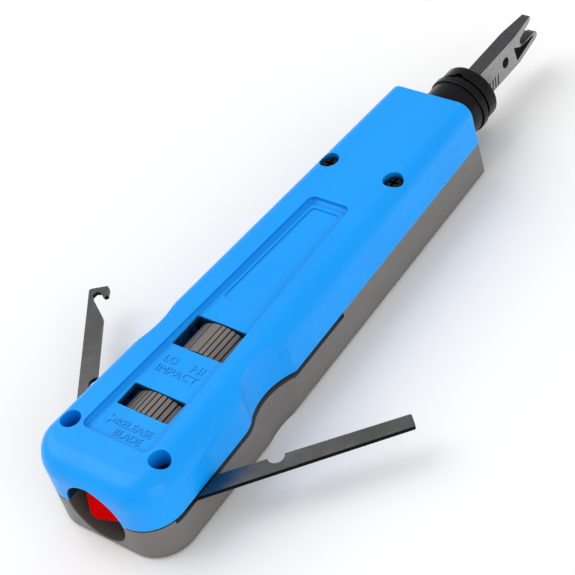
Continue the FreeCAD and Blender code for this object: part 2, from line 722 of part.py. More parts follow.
# ---- spare blade store ----
def storage_sleeve():
    """A fixed tube for the spare blade, slotted underneath for the carrier's pin."""
    tube = pipe(SLEEVE_R, SLEEVE_X, STORE_Z)
    flange = pipe((SLEEVE_R[0], SLEEVE_FLANGE_R), SLEEVE_FLANGE_X, STORE_Z)
    tube = fuse([tube, flange])
    slot_x = (SLEEVE_X[0] - OVER, PIN_X + PIN_R + LAP)
    return tube.cut(box(slot_x, around(0, SLEEVE_SLOT_HALF), (STORE_Z - SLEEVE_SLOT_DEPTH, STORE_Z)))


def finger_tab():
    """The red pull tab of the carrier: a rounded plate across the mouth of the well."""
    x = (TAB_REAR_X, TAB_REAR_X + TAB_THICKNESS)
    points = [vec(x[0], y, STORE_Z + z) for y, z in TAB_OUTLINE]
    face = Part.Face(Part.makePolygon(points + points[:1]))
    tab = face.extrude(vec(x[1] - x[0], 0, 0))
    corners = edges_where(tab, lambda e: spans(e, "x", *x))
    tab = tab.makeFillet(TAB_CORNER_R, corners)
    tab = tab.common(rod(WELL_R - GAP, x, STORE_Z))
    return tab.makeFillet(TAB_EDGE_R, edges_where(tab, lambda e: spans(e, "x", x[0], x[0])))


def spare_blade_carrier():
    """The red carrier: tab, stalk, a socket for the spare blade's shank and a drive pin."""
    body = rod(CARRIER_R, CARRIER_X, STORE_Z)
    stalk_x = (TAB_REAR_X + LAP, CARRIER_X[0] + LAP)
    stalk = box(stalk_x, around(0, STALK_HALF_WIDTH), (STORE_Z + STALK_Z[0], STORE_Z + STALK_Z[1]))
    pin = Part.makeCylinder(PIN_R, PIN_LENGTH, vec(PIN_X, 0, STORE_Z), -UP)
    carrier = fuse([body, stalk, finger_tab(), pin])
    socket_x = (CARRIER_X[1] - CARRIER_SOCKET_DEPTH, CARRIER_X[1] + OVER)
    socket = rod(SHANK_R + FIT, socket_x, STORE_Z)
    lug_slot = box(socket_x, around(0, LUG_R + OVER), around(STORE_Z, LUG_HALF_WIDTH + LUG_GAP))
    return cut_all(carrier, [socket, lug_slot])


def rib_grooves(arc, pitch):
    """Middle angles of evenly spaced grooves."""
    count = round((arc[1] - arc[0]) / pitch)
    return [arc[0] + pitch * (i + 1 / 2) for i in range(count)]


def ribbed_pad(radii, x, z, arc, groove_angles):
    """A sector with fine grooves along X, so that a thumb can turn it."""
    pad = ring_sector(radii, x, z, arc)
    for middle in groove_angles:
        groove = (radii[1] - RIB_DEPTH, radii[1] + OVER)
        pad = pad.cut(ring_sector(groove, (x[0] - OVER, x[1] + OVER), z, around(middle, RIB_GROOVE_DEG / 2)))
    return pad


def release_drum():
    """Turns about the store: its slanting slot drives the carrier's pin out of the handle."""
    sleeve = pipe(RELEASE_SLEEVE_R, RELEASE_SLEEVE_X, STORE_Z)
    radii = (RELEASE_SLEEVE_R[0] + PAD_ROOT, RELEASE_PAD_R)
    angles = rib_grooves(RELEASE_PAD_ARC, RELEASE_RIB_PITCH_DEG)
    drum = fuse([sleeve, ribbed_pad(radii, RELEASE_PAD_X, STORE_Z, RELEASE_PAD_ARC, angles)])
    slot_length = PIN_SLOT_R[1] - PIN_SLOT_R[0]
    for i in range(-1, PIN_SLOT_STEPS + 2):
        share = i / PIN_SLOT_STEPS
        turn = math.radians(180 - RELEASE_TURN_DEG * share)
        x = PIN_X - CARRIER_TRAVEL * share
        direction = vec(0, math.sin(turn), math.cos(turn))
        foot = vec(x, 0, STORE_Z) + direction * PIN_SLOT_R[0]
        drum = drum.cut(Part.makeCylinder(PIN_R + PIN_SLOT_GAP, slot_length, foot, direction))
    return drum


# ---- impact mechanism ----
def cam_lobes(x_flat, facing):
    """Two ramped lobes on an end face. Their faces slope along the turn, so turning lifts the seat."""
    radii = (SELECTOR_HUB_R[0] + RIB_TOUCH, SELECTOR_HUB_R[1])
    middle_r = (radii[0] + radii[1]) / 2
    reach = middle_r * math.sin(math.radians(CAM_HALF_ARC_DEG)) + CAM_OVERRUN
    rise = CAM_SLOPE * reach
    x_mid = CAM_MID_X + facing * CAM_GAP / 2
    lobes = []
    for side in (1, -1):
        arc = (90 * side - CAM_HALF_ARC_DEG, 90 * side + CAM_HALF_ARC_DEG)
        ring = ring_sector(radii, CAM_SPAN_X, AXIS_Z, arc)
        slope = -side * rise
        wedge = [
            (x_flat, AXIS_Z - reach),
            (x_mid - slope, AXIS_Z - reach),
            (x_mid + slope, AXIS_Z + reach),
            (x_flat, AXIS_Z + reach),
        ]
        lobes.append(ring.common(side_plate(wedge, (0, FAR) if side > 0 else (-FAR, 0))))
    return lobes


def impact_selector():
    """Light or heavy blow: the ribbed drum whose ramps move the spring seat."""
    hub = pipe(SELECTOR_HUB_R, SELECTOR_X, AXIS_Z)
    radii = (SELECTOR_HUB_R[0] + PAD_ROOT, SELECTOR_PAD_R)
    angles = rib_grooves(SELECTOR_RIB_ARC, SELECTOR_RIB_PITCH_DEG) + [SELECTOR_END_GROOVE_DEG]
    pad = ribbed_pad(radii, SELECTOR_PAD_X, AXIS_Z, SELECTOR_PAD_ARC, angles)
    drum = fuse([hub, pad] + cam_lobes(SELECTOR_X[1] - CAM_ROOT, -1))
    track_at = vec(SELECTOR_X[0] - CLICK_TRACK_OFFSET, 0, AXIS_Z)
    track = Part.makeTorus(CLICK_R, CLICK_BALL_R + CLICK_BALL_GAP, track_at, ALONG)
    return drum.cut(track)


def spring_seat():
    """Carries the rear of the impact spring and slides, but is kept from turning by a key."""
    flange = rod(SELECTOR_HUB_R[1], SEAT_FLANGE_X, AXIS_Z)
    spigot = rod(SEAT_SPIGOT_R, (SEAT_FLANGE_X[1] - LAP, SEAT_SPIGOT_X), AXIS_Z)
    key = box(SEAT_FLANGE_X, around(0, SEAT_KEY_HALF), (SEAT_KEY_Z, AXIS_Z - SEAT_KEY_TOP_R))
    return fuse([flange, spigot, key] + cam_lobes(SEAT_FLANGE_X[0] + CAM_ROOT, 1))


def hammer_tube():
    """A fixed steel tube that guides the hammer, with a lip that holds the blade holder in."""
    tube = pipe(TUBE_R, TUBE_X, AXIS_Z)
    lip = pipe((STEM_R + FIT, TUBE_R[1]), (TUBE_LIP_X, TUBE_X[1]), AXIS_Z)
    collar = pipe((TUBE_R[0], TUBE_COLLAR_R), (TUBE_COLLAR_X, TUBE_X[1]), AXIS_Z)
    tube = fuse([tube, lip, collar])
    return tube.cut(box(TUBE_SLOT_X, around(0, TUBE_SLOT_HALF), (AXIS_Z - TUBE_SLOT_REACH, AXIS_Z)))


def hammer():
    """The striking weight, bored for the holder's tail and crossed by the sear's window."""
    body = rod(HAMMER_R, HAMMER_X, AXIS_Z)
    ends = edges_where(body, lambda e: any(spans(e, "x", x, x) for x in HAMMER_X))
    body = body.makeChamfer(EDGE_BREAK, ends)
    body = fuse([body, rod(SEAT_SPIGOT_R, (HAMMER_SPIGOT_X, HAMMER_X[0] + LAP), AXIS_Z)])
    body = body.cut(rod(HAMMER_BORE_R, (HAMMER_X[1] - HAMMER_BORE_LENGTH, HAMMER_X[1] + OVER), AXIS_Z))
    window_x = (SEAR_X[0] - SEAR_FIT, SEAR_X[1] + SEAR_FIT)
    window_z = (AXIS_Z - TUBE_SLOT_REACH, AXIS_Z + SEAR_WINDOW_TOP_R)
    window = box(window_x, around(0, SEAR_HALF_WIDTH + SEAR_FIT), window_z)
    return body.cut(window)


def sear():
    """The cross slide whose hole stands off centre until the ramp lifts it."""
    y = around(0, SEAR_HALF_WIDTH)
    block = box(SEAR_X, y, (AXIS_Z - SEAR_FOOT_R, AXIS_Z + SEAR_TOP_R))
    foot = edges_where(
        block, lambda e: spans(e, "z", *(AXIS_Z - SEAR_FOOT_R,) * 2) and spans(e, "y", *y)
    )
    block = block.makeFillet(SEAR_FOOT_EDGE_R, foot)
    hole_z = AXIS_Z - SEAR_HOLE_OFFSET
    return block.cut(rod(HAMMER_BORE_R, (SEAR_X[0] - OVER, SEAR_X[1] + OVER), hole_z))


def sear_spring():
    """Pushes the sear down from the closed top of its window."""
    spring = coil(SEAR_COIL, (0, SEAR_WINDOW_TOP_R - SEAR_TOP_R - 2 * SEAT_FIT), 0)
    spring.rotate(vec(0, 0, 0), vec(0, 1, 0), -90)
    spring.translate(vec((SEAR_X[0] + SEAR_X[1]) / 2, 0, AXIS_Z + SEAR_TOP_R + SEAT_FIT))
    return spring


def click_ball():
    y, z = click_place()
    return Part.makeSphere(CLICK_BALL_R, vec(SELECTOR_X[0] - CLICK_TRACK_OFFSET, y, z))


def click_spring():
    y, z = click_place()
    x = (SLEEVE_FLANGE_X[1] + CLICK_HOLE_OFFSET + SEAT_FIT, SELECTOR_X[0] - CLICK_TRACK_OFFSET - CLICK_BALL_R)
    return coil(CLICK_COIL, x, z, y)


# ---- blade holder and blade ----
def blade_holder():
    """The sliding nose: head with ridge, ring groove and flange, stem and tail, and the blade socket."""
    face = FLANGE_X[1]
    parts = [
        rod(TAIL_R, (TAIL_X, STEM_X + LAP), AXIS_Z),
        rod(STEM_R, (STEM_X, HEAD_X + LAP), AXIS_Z),
        rod(HEAD_R, (HEAD_X, RIDGE_X[0] + LAP), AXIS_Z),
    ]
    ridge = rod(RIDGE_R, RIDGE_X, AXIS_Z)
    rear_rim = edges_where(ridge, lambda e: spans(e, "x", RIDGE_X[0], RIDGE_X[0]))
    parts.append(ridge.makeFillet(RIDGE_EDGE_R, rear_rim))
    parts.append(rod(RING_GROOVE_R, (RIDGE_X[1] - LAP, FLANGE_X[0] + LAP), AXIS_Z))
    flange = rod(FLANGE_R, FLANGE_X, AXIS_Z)
    parts.append(flange.makeFillet(FLANGE_EDGE_R, edges_where(flange, lambda e: spans(e, "x", face, face))))
    holder = fuse(parts)
    lug_x = (face + LUG_X[0] - LUG_GAP, face + LUG_X[1] + LUG_GAP)
    entry_y, entry_z = around(0, LUG_R + LUG_GAP), around(AXIS_Z, LUG_HALF_WIDTH + LUG_GAP)
    tools = [
        rod(SOCKET_R, (face - SHANK_LENGTH - SHANK_PLAY, face + OVER), AXIS_Z),
        rod(LUG_R + LUG_GAP, lug_x, AXIS_Z),
        box((lug_x[0], face + OVER), entry_y, entry_z),
        pipe((CLIP_R[0], STEM_R + OVER), (CLIP_X[0] - RIB_TOUCH, CLIP_X[1] + RIB_TOUCH), AXIS_Z),
        Part.makeCylinder(BALL_R + SEAT_FIT, RIDGE_R, vec(face + BALL_X, 0, AXIS_Z), UP),
    ]
    return cut_all(holder, tools)


def retaining_ring():
    """The open clip on the stem that bears on the tube's lip."""
    ring = pipe((CLIP_R[0] + RING_PLAY, CLIP_R[1]), CLIP_X, AXIS_Z)
    mouth_x = (CLIP_X[0] - OVER, CLIP_X[1] + OVER)
    return ring.cut(box(mouth_x, around(0, CLIP_MOUTH_HALF), (AXIS_Z - CLIP_R[1] - OVER, AXIS_Z)))


def detent_ring():
    """The open spring ring that presses the ball into the socket."""
    x = (RIDGE_X[1] + DETENT_RING_GAP, FLANGE_X[0] - DETENT_RING_GAP)
    ring = pipe((RING_GROOVE_R + RING_PLAY, DETENT_RING_OUT_R), x, AXIS_Z)
    mouth_x = (x[0] - OVER, x[1] + OVER)
    return ring.cut(box(mouth_x, around(0, DETENT_RING_MOUTH_HALF), (AXIS_Z - RIDGE_R, AXIS_Z)))


def detent_ball():
    seat_r = BALL_GROOVE_R + FIT + BALL_R
    return Part.makeSphere(BALL_R, vec(FLANGE_X[1] + BALL_X, 0, AXIS_Z + seat_r))


def nose_bush():
    return pipe(BUSH_R, BUSH_X, AXIS_Z)


def blade_profile():
    """Side outline of the blade: two prongs with a wire slot between them, x from the holder's face."""
    h = BLADE_HALF_HEIGHT
    return [
        (BLADE_START, -h), (20.4, -h), (29.2, -2.8), (BLADE_LENGTH, -2.1), (BLADE_LENGTH, -0.9),
        (28.9, FORK_FLOOR_Z), (24.0, FORK_FLOOR_Z), (24.0, 2.3), (29.2, 3.2), (UPPER_PRONG_LENGTH, 3.6),
        (UPPER_PRONG_LENGTH, h), (BLADE_START, h),
    ]


def blade(at, axis_z, turn_deg):
    """The punch blade: a forked bar on a round shank with two bayonet lugs."""
    t = BLADE_HALF_THICK
    bar = side_plate(blade_profile(), (-t, t))
    bar = bar.cut(Part.makeCylinder(FORK_ROOT_R, 2 * t, vec(FORK_ROOT_X, -t, FORK_ROOT_Z), ACROSS))
    tip_x = BLADE_LENGTH + OVER
    for side in (1, -1):
        inner, outer = side * BLADE_TIP_HALF_THICK, side * 2 * t
        wedge = [(BLADE_TAPER_X, side * t), (tip_x, inner), (tip_x, outer), (BLADE_TAPER_X, outer)]
        bar = bar.cut(plate(wedge, (FORK_FLOOR_Z, 2 * BLADE_HALF_HEIGHT)))
    lower = [(BLADE_TAPER_X, t), (tip_x, LOWER_PRONG_TIP_Y), (tip_x, 2 * t), (BLADE_TAPER_X, 2 * t)]
    bar = bar.cut(plate(lower, (-2 * BLADE_HALF_HEIGHT, FORK_FLOOR_Z)))
    bar = bar.cut(side_plate(CUTTER_POCKET, (-t - OVER, -t + CUTTER_POCKET_DEPTH)))
    bar = bar.cut(Part.makeCylinder(BLADE_HOLE_R, 4 * t, vec(BLADE_HOLE_X, -2 * t, 0), ACROSS))
    shank = rod(SHANK_R, (-SHANK_LENGTH, BLADE_START + LAP), 0)
    tail_edge = edges_where(shank, lambda e: spans(e, "x", -SHANK_LENGTH, -SHANK_LENGTH))
    shank = shank.makeChamfer(EDGE_BREAK, tail_edge)
    shank = shank.cut(Part.makeTorus(BALL_GROOVE_R + BALL_R, BALL_R, vec(BALL_X, 0, 0), ALONG))
    lugs = box(LUG_X, (-LUG_HALF_WIDTH, LUG_HALF_WIDTH), (-LUG_R, LUG_R)).common(rod(LUG_R, LUG_X, 0))
    whole = fuse([bar, shank, lugs])
    whole.rotate(vec(0, 0, 0), ALONG, turn_deg)
    whole.translate(vec(at, 0, axis_z))
    return whole


def save(name, shape):
    """Writes one node, with the origin moved to mid-length on the underside."""
    moved = shape.copy()
    moved.translate(vec(-CASE_LENGTH / 2, 0, 0))
    moved.exportStep(f"parts/{name}.step")


def main():
    os.makedirs("parts", exist_ok=True)
    spare_at = CARRIER_X[1] - CARRIER_SOCKET_DEPTH + SHANK_LENGTH + RIB_TOUCH
    nodes = {
        "top_shell": top_shell(),
        "bottom_shell": bottom_shell(),
        "front_case_screws": screws(front_screw_at, FRONT_HEAD_TOP_Z),
        "rear_pivot_screws": screws(rear_screw_at, REAR_HEAD_TOP_Z),
        "pivot_washers": pivot_washers(),
        "hook": hook(),
        "pry_bar": pry_bar(),
        "storage_sleeve": storage_sleeve(),
        "spare_blade_carrier": spare_blade_carrier(),
        "spare_blade": blade(spare_at, STORE_Z, 90),
        "release_drum": release_drum(),
        "impact_selector": impact_selector(),
        "click_ball": click_ball(),
        "click_spring": click_spring(),
        "spring_seat": spring_seat(),
        "main_spring": coil(MAIN_COIL, (SEAT_FLANGE_X[1] + SEAT_FIT, HAMMER_X[0] - SEAT_FIT), AXIS_Z),
        "hammer": hammer(),
        "sear": sear(),
        "sear_spring": sear_spring(),
        "hammer_tube": hammer_tube(),
        "return_spring": coil(RETURN_COIL, (RING_RIB_X + SEAT_FIT, HEAD_X - SEAT_FIT), AXIS_Z),
        "blade_holder": blade_holder(),
        "retaining_ring": retaining_ring(),
        "detent_ring": detent_ring(),
        "detent_ball": detent_ball(),
        "nose_bush": nose_bush(),
        "punch_blade": blade(FLANGE_X[1], AXIS_Z, 0),
    }
    for name, shape in nodes.items():
        save(name, shape)
        print(f"{name}: {len(shape.Solids)} solid(s), {shape.Volume:.1f} mm3, valid {shape.isValid()}")


main()
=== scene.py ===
import json
import math

import bpy
from mathutils import Matrix, Vector


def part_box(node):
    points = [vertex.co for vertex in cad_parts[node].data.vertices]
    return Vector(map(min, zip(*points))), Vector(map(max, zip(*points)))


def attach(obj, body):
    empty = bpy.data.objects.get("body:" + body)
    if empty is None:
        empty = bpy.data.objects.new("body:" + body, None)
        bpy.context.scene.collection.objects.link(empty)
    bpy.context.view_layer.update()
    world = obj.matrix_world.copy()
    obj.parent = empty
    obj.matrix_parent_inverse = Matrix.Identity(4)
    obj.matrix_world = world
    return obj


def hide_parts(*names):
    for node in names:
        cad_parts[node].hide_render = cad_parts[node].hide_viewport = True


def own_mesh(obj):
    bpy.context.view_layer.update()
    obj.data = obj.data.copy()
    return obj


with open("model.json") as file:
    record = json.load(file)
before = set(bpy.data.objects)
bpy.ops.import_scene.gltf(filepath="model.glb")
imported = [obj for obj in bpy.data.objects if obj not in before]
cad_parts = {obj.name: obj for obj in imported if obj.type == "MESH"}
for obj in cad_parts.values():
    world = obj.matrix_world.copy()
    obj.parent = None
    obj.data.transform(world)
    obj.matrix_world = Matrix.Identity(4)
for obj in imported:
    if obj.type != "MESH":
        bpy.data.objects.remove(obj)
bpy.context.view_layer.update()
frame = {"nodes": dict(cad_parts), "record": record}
nodes = frame["nodes"]
MM = 0.001

# ---- places that come from the frame ----
CASE_LOW, CASE_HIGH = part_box("top_shell")
HOLDER_LOW, HOLDER_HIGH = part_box("blade_holder")
SLEEVE_LOW, SLEEVE_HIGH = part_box("storage_sleeve")
REAR_X = CASE_LOW.x
NOSE_X = CASE_HIGH.x
FLANGE_X = HOLDER_HIGH.x  # front face of the black nose
BLADE_SIDE_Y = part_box("punch_blade")[0].y  # the blade's side that the photograph shows
AXIS_Z = (HOLDER_LOW.z + HOLDER_HIGH.z) / 2  # line of the nose and the blade
STORE_Z = (SLEEVE_LOW.z + SLEEVE_HIGH.z) / 2  # line of the spare blade

# ---- places inside a CAD piece, which the frame doesn't give ----
PANEL_FLOOR_Z = 23.2 * MM
RELEASE_RIB_RADIUS = 12.6 * MM  # about STORE_Z
SELECTOR_RIB_RADIUS = 10.9 * MM  # about AXIS_Z


# ---- node helpers ----
def start(name):
    """A new material, its tree and its Principled shader."""
    material = bpy.data.materials.new(name)
    material.use_nodes = True
    tree = material.node_tree
    return material, tree, tree.nodes["Principled BSDF"]


def make(tree, kind, values=(), **settings):
    """A node with settings on itself and (socket, value or output) pairs on its inputs."""
    node = tree.nodes.new(kind)
    for key, value in settings.items():
        setattr(node, key, value)
    for socket, value in values:
        if isinstance(value, bpy.types.NodeSocket):
            tree.links.new(value, node.inputs[socket])
        else:
            node.inputs[socket].default_value = value
    return node


def object_coords(tree):
    return make(tree, "ShaderNodeTexCoord").outputs["Object"]


def place(tree):
    """X, Y and Z of the surface, in the object's own metres."""
    return make(tree, "ShaderNodeSeparateXYZ", [(0, object_coords(tree))]).outputs


def noise(tree, scale, detail=4.0, roughness=0.55, stretch=(1, 1, 1)):
    """Noise in the object's own metres. Stretch below 1 draws it out along that axis."""
    mapping = make(tree, "ShaderNodeMapping", [("Vector", object_coords(tree)), ("Scale", stretch)])
    texture = make(
        tree,
        "ShaderNodeTexNoise",
        [
            ("Vector", mapping.outputs[0]),
            ("Scale", scale),
            ("Detail", detail),
            ("Roughness", roughness),
        ],
    )
    return texture.outputs["Fac"]


def remap(tree, value, source, target=(0.0, 1.0)):
    """The value moved from one range to another, and held at the ends of the second."""
    return make(
        tree,
        "ShaderNodeMapRange",
        [(0, value), (1, source[0]), (2, source[1]), (3, target[0]), (4, target[1])],
    ).outputs[0]


def math_node(tree, operation, a, b=0.0):
    return make(tree, "ShaderNodeMath", [(0, a), (1, b)], operation=operation).outputs[0]


def times(tree, a, b):
    return math_node(tree, "MULTIPLY", a, b)


def plus(tree, a, b):
    return math_node(tree, "ADD", a, b)


def mix(tree, factor, a, b):
    """Colour a where the factor is 0, colour b where it is 1."""
    node = make(tree, "ShaderNodeMix", data_type="RGBA")
    for socket, value in ((node.inputs[0], factor), (node.inputs[6], a), (node.inputs[7], b)):
        if isinstance(value, bpy.types.NodeSocket):
            tree.links.new(value, socket)
        elif isinstance(value, (int, float)):
            socket.default_value = value
        else:
            socket.default_value = (*value, 1.0)
    return node.outputs[2]


def shade(colour, factor):
    return tuple(min(1.0, c * factor) for c in colour)


def toward(colour, level, share):
    """The colour moved part of the way to a grey level."""
    return tuple(c + (level - c) * share for c in colour)


def mottled(tree, pattern, colour, darkest, brightest, band=(0.3, 0.7)):
    """A colour that wanders between two of its own shades with a noise pattern."""
    return mix(
        tree, remap(tree, pattern, band), shade(colour, darkest), shade(colour, brightest)
    )


def edge_mask(tree, radius):
    """1 near the outward and inward edges of the surface, 0 on its faces."""
    bevel = make(tree, "ShaderNodeBevel", [("Radius", radius)], samples=6)
    geometry = make(tree, "ShaderNodeNewGeometry")
    dot = make(
        tree,
        "ShaderNodeVectorMath",
        [(0, bevel.outputs[0]), (1, geometry.outputs["Normal"])],
        operation="DOT_PRODUCT",
    ).outputs["Value"]
    turned_away = math_node(tree, "SUBTRACT", 1.0, dot)
    return remap(tree, turned_away, (0.02, 0.2))


def open_to_light(tree, reach):
    """1 on open faces, falling to 0 in corners and narrow gaps, where shade is painted."""
    node = make(tree, "ShaderNodeAmbientOcclusion", [("Distance", reach)], samples=6)
    return remap(tree, node.outputs["AO"], (0.35, 0.92))


def bump_chain(tree, layers):
    """Bump from several (height, distance) layers, the first one lowest."""
    normal = None
    for height, distance in layers:
        values = [("Height", height), ("Distance", distance), ("Strength", 1.0)]
        if normal is not None:
            values.append(("Normal", normal))
        normal = make(tree, "ShaderNodeBump", values).outputs[0]
    return normal


def radius_from_axis(tree, axis_z):
    """Distance from a line along X at the given height."""
    axes = place(tree)
    up = math_node(tree, "SUBTRACT", axes["Z"], axis_z)
    square = plus(tree, times(tree, axes["Y"], axes["Y"]), times(tree, up, up))
    return math_node(tree, "SQRT", square)


def side_mask(tree, axis, edge):
    """1 where the surface faces along the given axis of the object, 0 where it faces across it."""
    normal = make(tree, "ShaderNodeTexCoord").outputs["Normal"]
    part = make(tree, "ShaderNodeSeparateXYZ", [(0, normal)]).outputs[axis]
    return remap(tree, math_node(tree, "ABSOLUTE", part), (edge - 0.1, edge + 0.1))


def within(tree, limits):
    """1 where every value has passed its edge, given as (where it is 0, where it is 1)."""
    mask = 1.0
    for value, edge in limits:
        mask = times(tree, mask, remap(tree, value, edge))
    return mask


def inner_painted_shade_mask(tree):
    """1 on the casing's inner walls, under the windows and in the rear well, where shade is
    painted, else 0.
    """
    axes = place(tree)
    side_wall = (11.7 * MM, 11.5 * MM)
    under_panel = (22.85 * MM, 22.6 * MM)
    over_base = (0.8 * MM, 1.2 * MM)
    behind_rear_fillet = (REAR_X + 10.0 * MM, REAR_X + 11.0 * MM)
    behind_nose_face = (NOSE_X - 0.3 * MM, NOSE_X - 0.9 * MM)
    hollow = [
        (math_node(tree, "ABSOLUTE", axes["Y"]), side_wall),
        (axes["Z"], under_panel),
        (axes["Z"], over_base),
        (axes["X"], behind_rear_fillet),
        (axes["X"], behind_nose_face),
    ]
    well_wall = (9.4 * MM, 9.25 * MM)
    well_mouth = (REAR_X + 0.25 * MM, REAR_X + 0.5 * MM)
    well = [(radius_from_axis(tree, STORE_Z), well_wall), (axes["X"], well_mouth)]
    return math_node(tree, "MAXIMUM", within(tree, hollow), within(tree, well))


def blade_pocket_mask(tree):
    """1 in the blade's stepped recess beside its fork, where shade is painted, 0 on its ground
    side.
    """
    axes = place(tree)
    seen_side = (-2.1 * MM, -1.9 * MM)
    far_side = (0.5 * MM, 0.3 * MM)
    rear_end = (FLANGE_X + 18.5 * MM, FLANGE_X + 18.7 * MM)
    upper_end = (AXIS_Z + 1.9 * MM, AXIS_Z + 1.7 * MM)
    limits = [
        (axes["Y"], seen_side),
        (axes["Y"], far_side),
        (axes["X"], rear_end),
        (axes["Z"], upper_end),
    ]
    return within(tree, limits)


# ---- materials ----
def finish(tree, shader, body, rough, bumps):
    """Joins the colour, the roughness and the bump layers to the shader."""
    tree.links.new(body, shader.inputs["Base Color"])
    tree.links.new(rough, shader.inputs["Roughness"])
    tree.links.new(bump_chain(tree, bumps), shader.inputs["Normal"])


def moulded_plastic(name, colour, roughness, grain_depth, edge_wear_and_highlight, specular, inner_painted_shade=None):
    """Injection moulded plastic: faint flow marks, fine grain, edges brightened partly as worn
    edges and partly as a painted highlight, painted shade in corners and on inner walls, and
    handling haze.
    """
    material, tree, shader = start(name)
    flow = noise(tree, 55.0, 3.0, stretch=(0.35, 1, 1))
    speck = noise(tree, 5200.0, 2.0)
    patches = remap(tree, noise(tree, 160.0), (0.35, 0.7), (0.25, edge_wear_and_highlight + 0.25))
    # Brightened edges: partly worn edges, partly a painted highlight.
    rubbed_and_highlit_edges = times(tree, edge_mask(tree, 0.35 * MM), patches)
    body = mottled(tree, flow, colour, 0.94, 1.04)
    body = mix(tree, remap(tree, speck, (0.62, 0.78), (0.0, 0.12)), body, shade(colour, 0.72))
    body = mix(tree, times(tree, rubbed_and_highlit_edges, edge_wear_and_highlight), body, toward(colour, 1.0, 0.28))
    # Painted shade: corners and narrow gaps are darkened towards 0.42 of the colour.
    body = mix(tree, open_to_light(tree, 2.5 * MM), shade(colour, 0.42), body)
    # Painted shade on the casing's inner walls, under the windows and in the rear well.
    if inner_painted_shade is not None:
        body = mix(tree, inner_painted_shade_mask(tree), body, inner_painted_shade)
    haze = noise(tree, 70.0, 6.0, 0.6)
    scuff = noise(tree, 420.0, 5.0, 0.7, stretch=(0.25, 1, 1))
    rough = plus(
        tree,
        remap(tree, haze, (0.35, 0.7), (roughness * 0.8, roughness * 1.3)),
        remap(tree, scuff, (0.55, 0.8), (0.0, roughness * 0.5)),
    )
    waves, grain = noise(tree, 110.0, 2.0), noise(tree, 2600.0, 3.0)
    finish(tree, shader, body, rough, [(waves, 0.035 * MM), (grain, grain_depth)])
    shader.inputs["IOR"].default_value = 1.5
    shader.inputs["Specular IOR Level"].default_value = specular
    return material


def worked_steel(name, colour, roughness, grain, edge_wear_and_highlight, dark_sides=None):
    """Steel with brushing drawn out along grain, darker patches, and bright edges that are partly
    worn edges and partly a painted highlight.
    """
    material, tree, shader = start(name)
    patch = noise(tree, 130.0, 5.0, 0.6)
    brush = noise(tree, 1500.0, 4.0, 0.65, stretch=grain)
    body = mottled(tree, patch, colour, 0.82, 1.12)
    body = mix(tree, remap(tree, brush, (0.35, 0.65), (0.0, 0.35)), body, shade(colour, 0.6))
    if dark_sides is not None:
        body = mix(tree, side_mask(tree, "Z", 0.7), dark_sides, body)
    patches = remap(tree, noise(tree, 300.0), (0.35, 0.65), (0.2, 1.0))
    # Brightened edges: partly worn edges, partly a painted highlight.
    rubbed_and_highlit_edges = times(tree, edge_mask(tree, 0.22 * MM), patches)
    body = mix(tree, times(tree, rubbed_and_highlit_edges, edge_wear_and_highlight), body, toward(colour, 0.75, 0.55))
    rough = plus(
        tree,
        remap(tree, brush, (0.3, 0.7), (roughness * 0.75, roughness * 1.25)),
        remap(tree, patch, (0.5, 0.8), (0.0, 0.1)),
    )
    finish(tree, shader, body, rough, [(patch, 0.02 * MM), (brush, 0.006 * MM)])
    shader.inputs["Metallic"].default_value = 1.0
    return material


def ribbed_plastic(name, colour, axis_z, rib_radius):
    """The thumb pieces: satin crests whose edges are brightened as worn edges and as a painted
    highlight, and painted shade near-black down in the grooves.
    """
    material, tree, shader = start(name)
    groove_to_crest = (rib_radius - 0.45 * MM, rib_radius - 0.1 * MM)
    crest = remap(tree, radius_from_axis(tree, axis_z), groove_to_crest)
    # The crest edges are brightened, partly as worn edges and partly as a painted highlight.
    rubbed_and_highlit_edges = times(tree, edge_mask(tree, 0.15 * MM), crest)
    body = mottled(tree, noise(tree, 90.0, 3.0), colour, 0.9, 1.08)
    # Painted shade: the grooves between the ribs are made near-black.
    body = mix(tree, crest, shade(colour, 0.06), body)
    body = mix(tree, times(tree, rubbed_and_highlit_edges, 0.4), body, shade(colour, 1.7))
    rough = remap(tree, noise(tree, 500.0, 4.0), (0.3, 0.7), (0.3, 0.46))
    finish(tree, shader, body, rough, [(noise(tree, 3000.0, 2.0), 0.008 * MM)])
    return material


def ground_blade(name):
    """The blade: blackened on its edges, painted shade near-black in its pocket, ground bright on
    its wide sides.
    """
    material, tree, shader = start(name)
    black, ground, bright_edge = (0.055, 0.055, 0.058), (0.33, 0.33, 0.33), (0.5, 0.5, 0.5)
    band = (0.35, 0.65)
    grain = noise(tree, 2400.0, 3.0, 0.6)
    lines = noise(tree, 1800.0, 3.0, 0.6, stretch=(1, 1, 0.04))
    wide = side_mask(tree, "Y", 0.8)
    bright = mottled(tree, grain, ground, 0.78, 1.2, band)
    dark = mottled(tree, lines, black, 0.7, 1.5, band)
    # Painted shade: the stepped pocket is made near-black.
    body = mix(tree, blade_pocket_mask(tree), bright, shade(black, 0.25))
    body = mix(tree, wide, dark, body)
    body = mix(tree, times(tree, edge_mask(tree, 0.16 * MM), 0.55), body, bright_edge)
    rough = plus(tree, remap(tree, grain, (0.3, 0.7), (0.30, 0.46)), times(tree, wide, 0.05))
    finish(tree, shader, body, rough, [(lines, 0.01 * MM), (grain, 0.008 * MM)])
    shader.inputs["Metallic"].default_value = 0.55
    return material


